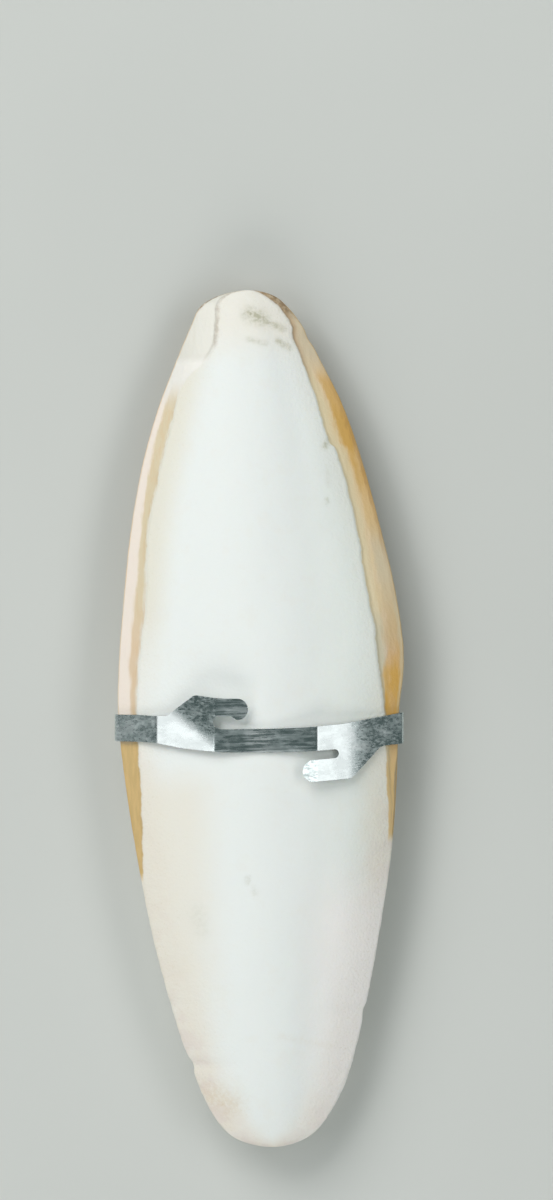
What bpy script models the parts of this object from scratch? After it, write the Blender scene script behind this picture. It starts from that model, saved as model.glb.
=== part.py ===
"""Cuttlebone lying on its belly, with the stamped metal holder that grips it across the back.

Metres, +Z up. The bone's long axis runs along Y, its rear end is at +Y, and its hard back faces +Z.
Distances along and across the bone are given in millimetres and turned into metres by MM.
"""

import math

import bmesh
import bpy
from mathutils import Matrix, Vector, noise

MM = 0.001

# Bone, driving sizes in millimetres
HALF_LENGTH = 106.0
RIM_THICKNESS = 0.8
RIM_ROUNDING = 0.25
BACK_ARCH_POWER = 2.15
BELLY_ARCH_POWER = 2.4
LEDGE_DROP = 0.55
LEDGE_SHARE = 0.2
FULL_LEDGE_MARGIN = 3.0
MEDIAN_RIB = 0.35
MEDIAN_RIB_WIDTH = 7.0
SIDE_FURROW = 0.3
SIDE_FURROW_AT = 0.45
SWELL = 0.22
SWELL_ACROSS = 13.0
SWELL_ALONG = 21.0

# Belly features in millimetres
FLANGE_THICKNESS = 0.9
CHAMBER_EDGE = -30.0
CHAMBER_EDGE_BOW = 34.0
CHAMBER_STEP = 0.5
CHAMBER_STEP_LENGTH = 3.0
GROOVE_DEPTH = 0.9
GROOVE_WIDTH = 4.0
GROOVE_FROM, GROOVE_TO = 12.0, 84.0
LEFT_HORN_FROM, RIGHT_HORN_FROM = -37.5, -29.5
CONE_RIDGE = 0.9
CONE_RIDGE_FROM, CONE_RIDGE_FULL = 25.0, 75.0

# Mesh density
ROWS = 76
END_STRETCH = 0.4
BACK_COLUMNS = 18
MARGIN_SHARES = (0.2, 0.6, 1.0)
BELLY_COLUMNS = 18
FLANGE_SHARES = (0.14, 0.55, 1.0)

# Holder, sizes in millimetres: x is the place across the bone, y across the strip
SHEET = 0.5
CLEARANCE = 0.3
HOLDER_Y = -5.0
HOLDER_TURN = math.radians(-1.8)
HOLDER_BOW = 2.7
LEFT_BOW_FROM, LEFT_BOW_TO = 8.0, 30.0
HOOK_CENTRE_X = 3.8
LEFT_CREASES = (-11.4, -25.6, -31.0)
RIGHT_CREASES = (13.6, 23.4, 30.8)
STAND_OFF = 0.9
BAND_HALF_MIDDLE = 3.0
BAND_HALF_END = 3.8
SIDE_FROM, END_FROM = 24.0, 30.0
FINGER_ROUNDING = 2.2
BEND_LINE = 3.9

# Fingers and their slots, with x counted from the middle of the holder
LEFT_FINGER = {
    "tip": 7.2, "inner": 4.9, "outer": 10.2, "neck": 21.4, "foot": 26.8, "half_side": 3.5,
    "half_end": 3.3, "slot_end": 15.6, "slot_from": 2.6, "slot_height": 3.3,
}
RIGHT_FINGER = {
    "tip": 6.5, "inner": 5.2, "outer": 10.5, "neck": 19.6, "foot": 25.2, "half_side": 3.6,
    "half_end": 3.8, "slot_end": 15.1, "slot_from": 3.0, "slot_height": 2.2,
}

# The left finger is bent up along a slanting line that crosses the band
SLANT = math.radians(32.5)
SLANT_FOOT, SLANT_BLEND, SLANT_FADE = -3.2, 4.0, 9.0
SLANT_RISE = 0.28

# Ends that curl round the bone's rim
CURL_BEYOND_RIM = 0.22
CURL_RADIUS = 1.15
CURL_TURN = math.radians(170)
CLAW_LENGTH = 3.3
CLAW_TIP_HALF = 1.5


class Curve:
    """Smooth line through stations of (distance along the bone, value).

    It is eased by the angle that the distance has on a circle, so that round ends stay round.
    """

    def __init__(self, *stations):
        self.at = [self.angle(y) for y, _ in stations]
        self.value = [value for _, value in stations]
        last = len(stations) - 1
        self.slope = []
        for i in range(len(stations)):
            before, after = max(i - 1, 0), min(i + 1, last)
            rise = self.value[after] - self.value[before]
            self.slope.append(rise / (self.at[after] - self.at[before]))

    @staticmethod
    def angle(y):
        return math.acos(max(-1.0, min(1.0, -y / HALF_LENGTH)))

    def __call__(self, y):
        angle = self.angle(y)
        i = 0
        while i < len(self.at) - 2 and angle > self.at[i + 1]:
            i += 1
        gap = self.at[i + 1] - self.at[i]
        t = max(0.0, min(1.0, (angle - self.at[i]) / gap))
        start = self.value[i] * (1 + 2 * t) * (1 - t) ** 2
        end = self.value[i + 1] * t * t * (3 - 2 * t)
        leave = self.slope[i] * gap * t * (1 - t) ** 2
        arrive = self.slope[i + 1] * gap * t * t * (t - 1)
        return start + end + leave + arrive


# Half widths of the whole bone, from the front tip to the rear tip
LEFT_EDGE = Curve(
    (-106, 0), (-103.5, 9.7), (-98, 14.7), (-90, 18.3), (-80, 21.7), (-68, 25.0), (-52, 28.6),
    (-34, 31.5), (-16, 33.8), (2, 35.2), (16, 34.5), (30, 33.0), (46, 30.9), (62, 27.7),
    (76, 23.5), (88, 18.6), (97, 14.6), (102.5, 11.6), (104.8, 7.4), (106, 0),
)
RIGHT_EDGE = Curve(
    (-106, 0), (-103.5, 9.0), (-98, 14.1), (-90, 18.4), (-80, 21.6), (-68, 24.6), (-52, 28.0),
    (-34, 31.2), (-16, 33.1), (0, 34.1), (14, 35.8), (30, 34.3), (46, 31.1), (62, 27.3),
    (76, 23.0), (88, 17.6), (97, 13.2), (101.5, 9.9), (104.3, 6.8), (106, 0),
)

# Half widths of the white shield on the back. It stops short of the rim where the horny margin shows.
LEFT_SHIELD = Curve(
    (-106, 0), (-103.5, 9.4), (-98, 14.3), (-80, 21.3), (-52, 28.2), (-40, 30.0), (-30, 29.9),
    (-16, 29.9), (2, 30.3), (16, 29.2), (30, 27.2), (46, 26.3), (60, 23.2), (74, 19.4),
    (83, 16.4), (88, 11.5), (92, 8.8), (98, 7.8), (103, 7.2), (105, 5.0), (106, 0),
)
RIGHT_SHIELD = Curve(
    (-106, 0), (-103.5, 8.7), (-98, 13.7), (-80, 21.2), (-52, 27.6), (-36, 30.6), (-27, 31.4),
    (-12, 31.0), (1, 30.4), (14, 29.1), (22, 28.5), (30, 27.1), (44, 25.3), (58, 22.6), (73, 18.0),
    (82, 14.9), (88, 12.8), (93, 11.1), (97, 10.4), (101, 8.0), (104, 4.8), (106, 0),
)

# Heights above the resting surface
RIDGE = Curve(
    (-106, 11.5), (-100, 14.5), (-88, 17.5), (-70, 20.5), (-45, 23.1), (-15, 24.2), (10, 24.0),
    (35, 22.7), (60, 20.2), (80, 17.0), (94, 13.8), (102, 11.5), (106, 9.8),
)
RIM = Curve(
    (-106, 11.2), (-90, 11.7), (-60, 13.0), (-30, 14.0), (0, 14.2), (30, 13.5), (60, 12.0),
    (85, 10.3), (100, 9.3), (106, 9.2),
)
BELLY = Curve(
    (-106, 10.2), (-101, 7.3), (-92, 4.4), (-78, 1.9), (-58, -0.2), (-38, -1.2), (-12, -1.6),
    (8, -1.1), (24, 0.3), (40, 2.5), (56, 5.0), (72, 7.7), (84, 9.8), (94, 11.2), (99, 11.3),
    (106, 8.6),
)

# Half width of the chambered chalk, which narrows to a point in the spoon-shaped rear end
CHALK = Curve(
    (-106, 0), (-103.5, 8.4), (-98, 13.0), (-80, 19.8), (-52, 26.2), (-16, 30.4), (6, 30.6),
    (30, 27.2), (50, 21.8), (68, 15.8), (82, 10.2), (92, 5.4), (98, 2.0), (106, 0),
)

# Chips out of the rim: side, distance along the bone, length, depth
CHIPS = (
    (-1, -84.9, 3.4, 0.8),
    (1, -73.0, 3.2, 0.45),
    (1, 93.5, 3.0, 0.4),
)


def smooth_step(value, low, high):
    t = max(0.0, min(1.0, (value - low) / (high - low)))
    return t * t * (3 - 2 * t)


def bump(value, centre, width):
    return math.exp(-(((value - centre) / width) ** 2))


def edge_at(side, y):
    """Half width of the bone on one side, with the chips taken out."""
    half = (LEFT_EDGE if side < 0 else RIGHT_EDGE)(y)
    for chip_side, chip_y, length, depth in CHIPS:
        if chip_side == side:
            half -= depth * bump(y, chip_y, length / 2)
    return max(half, 0.0)


def shield_at(side, y):
    shield = (LEFT_SHIELD if side < 0 else RIGHT_SHIELD)(y)
    return max(min(shield, edge_at(side, y) - 0.25), 0.0)


def back_height(x, y):
    """Height of the hard back: an arch with a low middle rib, and a margin lower than the shield."""
    side = -1 if x < 0 else 1
    half = max(edge_at(side, y), 0.01)
    across = min(abs(x) / half, 1.0)
    rise = RIDGE(y) - RIM(y)
    height = RIM(y) + rise * (1 - across ** BACK_ARCH_POWER)
    relief = min(1.0, rise / 8)
    height += relief * MEDIAN_RIB * bump(x, 0, MEDIAN_RIB_WIDTH)
    height -= relief * SIDE_FURROW * bump(across, SIDE_FURROW_AT, 0.16)
    swell = noise.noise(Vector((x / SWELL_ACROSS, y / SWELL_ALONG, 3.7)))
    height += SWELL * relief * swell
    shield = shield_at(side, y)
    margin = max(half - shield, 0.01)
    share = (abs(x) - shield) / margin
    drop = LEDGE_DROP * min(1.0, margin / FULL_LEDGE_MARGIN)
    return height - drop * smooth_step(share, 0.0, LEDGE_SHARE)


def belly_height(x, y):
    """Height of the underside: a thin flange outside, and the bulging chalk inside it."""
    side = -1 if x < 0 else 1
    chalk = min(CHALK(y), edge_at(side, y) - 0.3)
    if chalk <= 0.05 or abs(x) >= chalk:
        return back_height(x, y) - FLANGE_THICKNESS
    root = back_height(side * chalk, y) - FLANGE_THICKNESS
    across = abs(x) / chalk
    height = root - (root - BELLY(y)) * (1 - across ** BELLY_ARCH_POWER)
    inside = smooth_step(1 - across, 0.0, 0.3)
    edge = CHAMBER_EDGE + CHAMBER_EDGE_BOW * across ** 2
    older = smooth_step(y, edge - CHAMBER_STEP_LENGTH / 2, edge + CHAMBER_STEP_LENGTH / 2)
    height += CHAMBER_STEP * older * inside
    groove = smooth_step(y, GROOVE_FROM, GROOVE_FROM + 25)
    groove *= 1 - smooth_step(y, GROOVE_TO - 30, GROOVE_TO)
    height += GROOVE_DEPTH * groove * bump(x, 0, GROOVE_WIDTH)
    ridge = smooth_step(y, CONE_RIDGE_FROM, CONE_RIDGE_FULL)
    height -= CONE_RIDGE * ridge * bump(across, 0.93, 0.09)
    thinnest = back_height(x, y) - FLANGE_THICKNESS
    return max(min(height, thinnest), 0.0)


def row_places():
    """Distances along the bone of the rows between its two tips, closer together in the middle."""
    places = []
    for i in range(1, ROWS):
        t = i / ROWS
        angle = math.pi * t + END_STRETCH * math.sin(2 * math.pi * t) / 2
        places.append(-HALF_LENGTH * math.cos(angle))
    return places


def columns(left_rim, left_inner, right_inner, right_rim, middle, shares):
    """Places across the bone, left to right: the middle evenly, and each border by its shares."""
    left = [-left_inner - share * (left_rim - left_inner) for share in reversed(shares)]
    inner = [
        -left_inner + (left_inner + right_inner) * i / middle for i in range(middle + 1)
    ]
    right = [right_inner + share * (right_rim - right_inner) for share in shares]
    return left + inner + right


def bone_ring(y):
    """One closed section of the bone: over the back, round the right rim, back under the belly."""
    left, right = edge_at(-1, y), edge_at(1, y)
    rounding = min(RIM_ROUNDING, 0.2 * min(left, right))
    top = columns(
        left - rounding, min(shield_at(-1, y), left - 2 * rounding),
        min(shield_at(1, y), right - 2 * rounding), right - rounding,
        BACK_COLUMNS, MARGIN_SHARES,
    )
    chalk = CHALK(y)
    under = columns(
        left - rounding, min(chalk, left - 2 * rounding),
        min(chalk, right - 2 * rounding), right - rounding,
        BELLY_COLUMNS, FLANGE_SHARES,
    )
    ring = [(x, y, back_height(x, y)) for x in top]
    ring.append((right, y, back_height(right, y) - RIM_THICKNESS / 2))
    ring += [(x, y, belly_height(x, y)) for x in reversed(under)]
    ring.append((-left, y, back_height(-left, y) - RIM_THICKNESS / 2))
    return ring


def bone_mesh():
    mesh = bmesh.new()
    rings = []
    for y in row_places():
        rings.append([mesh.verts.new(Vector(point) * MM) for point in bone_ring(y)])
    back_count = BACK_COLUMNS + 1 + 2 * len(MARGIN_SHARES)
    size = len(rings[0])

    for a, b in zip(rings, rings[1:]):
        for j in range(size):
            k = (j + 1) % size
            mesh.faces.new((a[j], a[k], b[k], b[j]))

    for tip_y, ring in ((-HALF_LENGTH, rings[0]), (HALF_LENGTH, rings[-1])):
        middle = back_height(0, tip_y) - RIM_THICKNESS / 2
        heights = (middle + RIM_THICKNESS / 2, middle, middle - RIM_THICKNESS / 2)
        over, edge, under = (mesh.verts.new(Vector((0, tip_y, z)) * MM) for z in heights)
        tip = [over] * back_count + [edge] + [under] * (size - back_count - 2) + [edge]
        for j in range(size):
            k = (j + 1) % size
            corners = [ring[j], ring[k]] + ([tip[k]] if tip[j] is tip[k] else [tip[k], tip[j]])
            mesh.faces.new(corners)

    bmesh.ops.recalc_face_normals(mesh, faces=mesh.faces[:])
    return mesh


def is_horn(centre):
    """True on the back's amber margin and on the thin flange beside the chalk."""
    x, y, z = (value / MM for value in centre)
    side = -1 if x < 0 else 1
    if y < (LEFT_HORN_FROM if side < 0 else RIGHT_HORN_FROM):
        return False
    if z < back_height(x, y) - RIM_THICKNESS / 2:
        return abs(x) > CHALK(y) + 0.4
    return abs(x) > shield_at(side, y) + 0.2


def paint(name, colour, roughness, metallic=0.0):
    material = bpy.data.materials.new(name)
    material.use_nodes = True
    shader = material.node_tree.nodes["Principled BSDF"]
    shader.inputs["Base Color"].default_value = (*colour, 1.0)
    shader.inputs["Roughness"].default_value = roughness
    shader.inputs["Metallic"].default_value = metallic
    return material


def add_object(name, mesh, *materials):
    data = bpy.data.meshes.new(name)
    mesh.to_mesh(data)
    mesh.free()
    for material in materials:
        data.materials.append(material)
    data.shade_smooth()
    data.set_sharp_from_angle(angle=math.radians(40))
    made = bpy.data.objects.new(name, data)
    bpy.context.scene.collection.objects.link(made)
    return made


def build_bone():
    white = paint("bone white", (0.84, 0.83, 0.78), 0.75)
    amber = paint("horn amber", (0.52, 0.30, 0.11), 0.4)
    bone = add_object("cuttlebone", bone_mesh(), white, amber)
    for face in bone.data.polygons:
        face.material_index = int(is_horn(face.center))
    return bone


def place_on_bone(x, y):
    """Turns a place on the holder's own sheet into a place over the bone."""
    bow = smooth_step(-x, LEFT_BOW_FROM, LEFT_BOW_TO) if x < 0 else (x / LEFT_EDGE(HOLDER_Y)) ** 2
    bowed = y + HOLDER_BOW * bow
    cos, sin = math.cos(HOLDER_TURN), math.sin(HOLDER_TURN)
    return x * cos - bowed * sin, HOLDER_Y + x * sin + bowed * cos


def highest_under(x, half):
    """Highest point of the back under the band at x, plus the clearance up to the sheet's middle."""
    tops = [back_height(*place_on_bone(x, y)) for y in (-half, 0, half)]
    return max(tops) + CLEARANCE + SHEET / 2


def rest_facet(x_from, z_from, x_to, half):
    """Slope of a flat stretch of band that starts at a crease and just clears the back."""
    steps = 12
    slopes = []
    for i in range(1, steps + 1):
        x = x_from + (x_to - x_from) * i / steps
        slopes.append((highest_under(x, half) - z_from) / abs(x - x_from))
    return max(slopes)


class Fold:
    """The bent line of the band in the XZ plane: flats between creases, then a curl round each rim."""

    def __init__(self):
        middle = [LEFT_CREASES[0] * i / 4 for i in range(5)]
        middle += [RIGHT_CREASES[0] * i / 4 for i in range(5)]
        self.top = max(highest_under(x, BAND_HALF_MIDDLE) for x in middle)
        self.flats = {-1: self.side(-1, LEFT_CREASES), 1: self.side(1, RIGHT_CREASES)}

    def side(self, sign, creases):
        """Flats of one side as (distance out, height, slope outwards), the last one at the curl."""
        reach = [place_on_bone(sign * 34, y)[1] for y in (-BAND_HALF_END, 0, BAND_HALF_END)]
        rim = max(edge_at(sign, y) for y in reach)
        stops = [abs(crease) for crease in creases] + [rim + CURL_BEYOND_RIM]
        height = self.top
        flats = []
        for start, stop in zip(stops, stops[1:]):
            slope = rest_facet(sign * start, height, sign * stop, BAND_HALF_END)
            slope += STAND_OFF / (stop - start) if not flats else 0.0
            flats.append((start, height, slope))
            height += slope * (stop - start)
        flats.append((stops[-1], height, slope))
        return flats

    def at(self, x):
        """Place and outward direction of the sheet's middle. Past a curl's start, x runs along it."""
        sign = -1 if x < 0 else 1
        flats = self.flats[sign]
        out = abs(x)
        if out <= flats[0][0]:
            return x, self.top, Vector((0, 0, 1))
        if out > flats[-1][0]:
            return self.curl(sign, flats[-1], out - flats[-1][0])
        start, height, slope = [flat for flat in flats if flat[0] < out][-1]
        return x, height + slope * (out - start), Vector((-sign * slope, 0, 1)).normalized()

    def curl(self, sign, flat, along):
        start, height, slope = flat
        lean = -math.atan(slope)
        angle = lean + min(along / CURL_RADIUS, CURL_TURN)
        straight = max(along - CURL_RADIUS * CURL_TURN, 0.0)
        out = CURL_RADIUS * (math.sin(angle) - math.sin(lean)) + straight * math.cos(angle)
        down = CURL_RADIUS * (math.cos(lean) - math.cos(angle)) + straight * math.sin(angle)
        outward = Vector((sign * math.sin(angle), 0, math.cos(angle)))
        return sign * (start + out), height - down, outward

    def sheet_end(self, sign):
        return self.flats[sign][-1][0] + CURL_RADIUS * CURL_TURN + CLAW_LENGTH


def arc(centre, radius, start, end, steps):
    """Points on an arc, with angles in degrees."""
    points = []
    for i in range(steps + 1):
        angle = math.radians(start + (end - start) * i / steps)
        points.append((centre[0] + radius * math.cos(angle), centre[1] + radius * math.sin(angle)))
    return points


def half_blank(sheet_end, finger):
    """Outline of the half of the holder that has its finger on the -y side, from its end inwards.

    It runs along the finger's side of the sheet, and x counts from the middle of the holder.
    """
    rounding = FINGER_ROUNDING
    slot_half = finger["slot_height"] / 2
    slot_middle = finger["slot_from"] + slot_half
    inner, outer, foot = finger["inner"], finger["outer"], finger["foot"]
    half_side, half_end = finger["half_side"], finger["half_end"]
    points = [(sheet_end, -CLAW_TIP_HALF + 0.6), (sheet_end - 0.6, -CLAW_TIP_HALF)]
    points += [(sheet_end - CLAW_LENGTH, -half_end), (END_FROM, -half_end)]
    points += [(foot + 1.2, -half_side), (foot, -half_side - 0.3)]
    points += arc((finger["neck"] - rounding, rounding - outer), rounding, -38, -90, 4)
    tip_middle = (finger["tip"] + rounding, -(inner + outer) / 2)
    tip_radius = (outer - inner) / 2
    points += arc((tip_middle[0] + 0.3, tip_middle[1]), tip_radius, -90, -270, 8)
    slot_mouth = points[-1][0] + 1.5
    points += [(slot_mouth, -finger["slot_from"] - finger["slot_height"])]
    points += arc((finger["slot_end"] - slot_half, -slot_middle), slot_half, -90, 90, 6)
    return points


def blank_outline(fold):
    """The whole flat outline: a half, then the other half turned half round."""
    right_end = fold.sheet_end(1) - HOOK_CENTRE_X
    left_end = fold.sheet_end(-1) + HOOK_CENTRE_X
    right = half_blank(right_end, RIGHT_FINGER)
    left = [(-x, -y) for x, y in half_blank(left_end, LEFT_FINGER)]
    right_top = far_edge(right_end, RIGHT_FINGER)
    left_bottom = [(-x, -y) for x, y in far_edge(left_end, LEFT_FINGER)]
    outline = right + left_bottom + left + right_top
    return [(x + HOOK_CENTRE_X, y) for x, y in outline]


def far_edge(sheet_end, finger):
    """The plain edge of the band, on the side that has no finger, from the middle outwards."""
    return [
        (SIDE_FROM - 8, BAND_HALF_MIDDLE), (SIDE_FROM, finger["half_side"]),
        (END_FROM, finger["half_end"]), (sheet_end - CLAW_LENGTH, finger["half_end"]),
        (sheet_end - 0.6, CLAW_TIP_HALF),
        (sheet_end, CLAW_TIP_HALF - 0.6),
    ]


def fold_lines(fold):
    """Places along the sheet where it has to be able to bend."""
    lines = [*LEFT_CREASES, *RIGHT_CREASES]
    for sign in (-1, 1):
        start = fold.flats[sign][-1][0]
        steps = 7
        for i in range(steps + 1):
            lines.append(sign * (start + CURL_RADIUS * CURL_TURN * i / steps))
        lines.append(sign * 30.0)
    lines += [-22.5, -20.5, -18.5, -16.5, -14.5, -13.0, -9.5, -7.0, -4.5, 4.0, 8.0, 18.0, 21.5]
    return sorted(set(lines))


def left_rise(x, y):
    """How far a place on the left half stands up, because the finger is bent along a slant."""
    crease = LEFT_CREASES[0]
    past = (min(x, crease) - crease) * math.sin(SLANT) + (y - SLANT_FOOT) * math.cos(SLANT)
    bent = max(0.0, min(past, SLANT_BLEND))
    rise = SLANT_RISE * (bent ** 2 / (2 * SLANT_BLEND) + max(past - SLANT_BLEND, 0.0))
    if y < BEND_LINE:
        rise *= 1 - smooth_step(x, crease, crease + SLANT_FADE)
    return rise


def finger_height(fold, x, y, band):
    """Height of the sheet at a place, given the height of a plain band there."""
    if x < 0:
        return band + left_rise(x, y)
    if y < 0.01 - BEND_LINE and 0 < x < RIGHT_CREASES[0] + 1:
        return fold.top - fold.flats[1][0][2] * (RIGHT_CREASES[0] - x)
    return band


def sheet_point(fold, x, y, side):
    """A point on the outer or inner face of the bent sheet, in millimetres over the bone."""
    bent_x, z, outward = fold.at(x)
    z = finger_height(fold, x, y, z)
    bent_x += side * outward.x * SHEET / 2
    z += side * outward.z * SHEET / 2
    px, py = place_on_bone(bent_x, y)
    return Vector((px, py, z))


def holder_mesh():
    fold = Fold()
    flat = bmesh.new()
    flat.faces.new([flat.verts.new((x, y, 0)) for x, y in blank_outline(fold)])
    for x in fold_lines(fold):
        everything = flat.verts[:] + flat.edges[:] + flat.faces[:]
        bmesh.ops.bisect_plane(flat, geom=everything, plane_co=(x, 0, 0), plane_no=(1, 0, 0))
    for y in (-BEND_LINE, -2.0, 0, 2.0, BEND_LINE, 5.5, 7.0, 8.5):
        everything = flat.verts[:] + flat.edges[:] + flat.faces[:]
        bmesh.ops.bisect_plane(flat, geom=everything, plane_co=(0, y, 0), plane_no=(0, 1, 0))
    bmesh.ops.triangulate(flat, faces=flat.faces[:])

    sheet = bmesh.new()
    faces = {}
    for side in (1, -1):
        faces[side] = [
            sheet.verts.new(sheet_point(fold, v.co.x, v.co.y, side) * MM) for v in flat.verts
        ]
    flat.verts.index_update()
    for face in flat.faces:
        corners = [v.index for v in face.verts]
        sheet.faces.new([faces[1][i] for i in corners])
        sheet.faces.new([faces[-1][i] for i in reversed(corners)])
    for edge in flat.edges:
        if edge.is_boundary:
            i, j = (v.index for v in edge.verts)
            sheet.faces.new((faces[1][i], faces[1][j], faces[-1][j], faces[-1][i]))
    flat.free()
    bmesh.ops.recalc_face_normals(sheet, faces=sheet.faces[:])
    return sheet


def build_holder():
    metal = paint("tinned steel", (0.62, 0.64, 0.65), 0.3, metallic=1.0)
    return add_object("holder_clip", holder_mesh(), metal)


def centre_on_footprint(pieces):
    """Moves the pieces so that the origin is under the middle of the whole, where it rests."""
    corners = [v.co for piece in pieces for v in piece.data.vertices]
    low = Vector([min(c[i] for c in corners) for i in range(3)])
    high = Vector([max(c[i] for c in corners) for i in range(3)])
    middle = (low + high) / 2
    shift = Matrix.Translation((-middle.x, -middle.y, -low.z))
    for piece in pieces:
        piece.data.transform(shift)


def main():
    for old in list(bpy.data.objects):
        bpy.data.objects.remove(old)
    centre_on_footprint([build_bone(), build_holder()])


main()
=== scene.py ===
"""Cuttlebone with its stamped metal holder, seen from straight above on a pale floor.

Lengths inside the shape functions are in millimetres. MM turns them into metres.
"""

import math

import bmesh
import bpy
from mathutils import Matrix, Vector, noise


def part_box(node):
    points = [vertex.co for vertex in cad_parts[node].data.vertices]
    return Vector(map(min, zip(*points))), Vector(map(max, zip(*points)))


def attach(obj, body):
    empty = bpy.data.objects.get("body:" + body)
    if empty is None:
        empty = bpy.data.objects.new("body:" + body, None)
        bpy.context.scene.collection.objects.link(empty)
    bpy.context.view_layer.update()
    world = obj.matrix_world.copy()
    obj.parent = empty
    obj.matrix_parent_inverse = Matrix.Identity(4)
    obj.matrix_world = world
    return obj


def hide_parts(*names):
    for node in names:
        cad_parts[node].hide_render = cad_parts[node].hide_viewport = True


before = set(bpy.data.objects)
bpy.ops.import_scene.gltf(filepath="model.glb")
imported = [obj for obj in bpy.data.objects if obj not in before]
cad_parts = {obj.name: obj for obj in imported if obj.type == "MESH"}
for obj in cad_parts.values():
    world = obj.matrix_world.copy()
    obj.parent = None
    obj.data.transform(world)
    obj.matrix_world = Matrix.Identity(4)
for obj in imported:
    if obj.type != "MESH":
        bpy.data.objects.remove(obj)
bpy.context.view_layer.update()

MM = 0.001

# Bone
HALF_LENGTH = 106.0
BACK_ARCH_POWER = 2.15
BELLY_ARCH_POWER = 2.4
LEDGE_DROP = 0.55
LEDGE_WIDTH = 0.45
FULL_LEDGE_MARGIN = 3.0
MEDIAN_RIB, MEDIAN_RIB_WIDTH = 0.35, 7.0
SIDE_FURROW, SIDE_FURROW_AT = 0.3, 0.45
SWELL, SWELL_ACROSS, SWELL_ALONG = 0.22, 13.0, 21.0
FLANGE_THICKNESS = 0.9
CHAMBER_EDGE, CHAMBER_EDGE_BOW = -30.0, 34.0
CHAMBER_STEP, CHAMBER_STEP_LENGTH = 0.5, 1.2
GROOVE_DEPTH, GROOVE_WIDTH = 0.9, 4.0
GROOVE_FROM, GROOVE_TO = 12.0, 84.0
CONE_RIDGE = 0.9
CONE_RIDGE_FROM, CONE_RIDGE_FULL = 25.0, 75.0
LEFT_HORN_FROM, RIGHT_HORN_FROM = -37.5, -29.5

ROWS = 380
BACK_COLUMNS, MARGIN_COLUMNS = 90, 16
BELLY_COLUMNS, FLANGE_COLUMNS = 84, 8
RIM_STEPS = 3
RIM_ROUNDING, ROUNDING_SHARE = 0.35, 0.2

# Small relief that only the fine bone has: how far it stands up or in
RAGGED_END, RAGGED_HORN = 0.34, 0.14
CRACK_STEP = 0.9
WRINKLE = 0.05
GROWTH_LINE, GRAIN, LUMP = 0.018, 0.035, 0.05
CHAMBER_RIDGE, BELLY_DENT, BELLY_GRAIN = 0.11, 0.09, 0.03

# Holder: x is the place across the bone, y across the strip
SHEET = 0.5
CLEARANCE = 0.3
HOLDER_Y = -5.0
HOLDER_TURN = math.radians(-1.8)
HOLDER_BOW = 2.7
LEFT_BOW_FROM, LEFT_BOW_TO = 8.0, 30.0
HOOK_CENTRE_X = 3.8
LEFT_CREASES = (-11.4, -25.6, -31.0)
RIGHT_CREASES = (13.6, 23.4, 30.8)
LEFT_BEND_HALVES = (0.35, 0.35, 1.0)
RIGHT_BEND_HALVES = (0.35, 2.6, 1.0)
STAND_OFF = 0.9
BAND_HALF_MIDDLE, BAND_HALF_END = 3.0, 3.8
SIDE_FROM, END_FROM = 24.0, 30.0
FINGER_ROUNDING = 2.2
BEND_LINE = 3.9
LEFT_FINGER = {
    "tip": 7.2, "inner": 4.9, "outer": 10.2, "neck": 21.4, "foot": 26.8, "half_side": 3.5,
    "half_end": 3.3, "slot_end": 15.6, "slot_from": 2.6, "slot_height": 3.3,
}
RIGHT_FINGER = {
    "tip": 6.5, "inner": 5.2, "outer": 10.5, "neck": 19.6, "foot": 25.2, "half_side": 3.6,
    "half_end": 3.8, "slot_end": 15.1, "slot_from": 3.0, "slot_height": 2.2,
}
SLANT = math.radians(32.5)
SLANT_FOOT, SLANT_BLEND, SLANT_FADE = -3.2, 4.0, 9.0
SLANT_RISE = 0.28
CURL_BEYOND_RIM = 0.22
CURL_RADIUS = 1.15
CURL_TURN = math.radians(170)
CLAW_LENGTH = 3.3
CLAW_TIP_HALF, CLAW_CORNER = 1.5, 0.6
EDGE_ROUNDING = 0.04

# Distances between the cuts that let the sheet bend
CUTS_ALONG, CUTS_BY_SLANT, CUTS_ACROSS = 1.0, 0.6, 0.62


class Curve:
    """Smooth line through stations of (distance along the bone, value), with round ends kept round."""

    def __init__(self, *stations):
        self.at = [self.angle(y) for y, _ in stations]
        self.value = [value for _, value in stations]
        last = len(stations) - 1
        self.slope = []
        for i in range(len(stations)):
            before, after = max(i - 1, 0), min(i + 1, last)
            rise = self.value[after] - self.value[before]
            self.slope.append(rise / (self.at[after] - self.at[before]))

    @staticmethod
    def angle(y):
        return math.acos(max(-1.0, min(1.0, -y / HALF_LENGTH)))

    def __call__(self, y):
        angle = self.angle(y)
        i = 0
        while i < len(self.at) - 2 and angle > self.at[i + 1]:
            i += 1
        gap = self.at[i + 1] - self.at[i]
        t = max(0.0, min(1.0, (angle - self.at[i]) / gap))
        start = self.value[i] * (1 + 2 * t) * (1 - t) ** 2
        end = self.value[i + 1] * t * t * (3 - 2 * t)
        leave = self.slope[i] * gap * t * (1 - t) ** 2
        arrive = self.slope[i + 1] * gap * t * t * (t - 1)
        return start + end + leave + arrive


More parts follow.
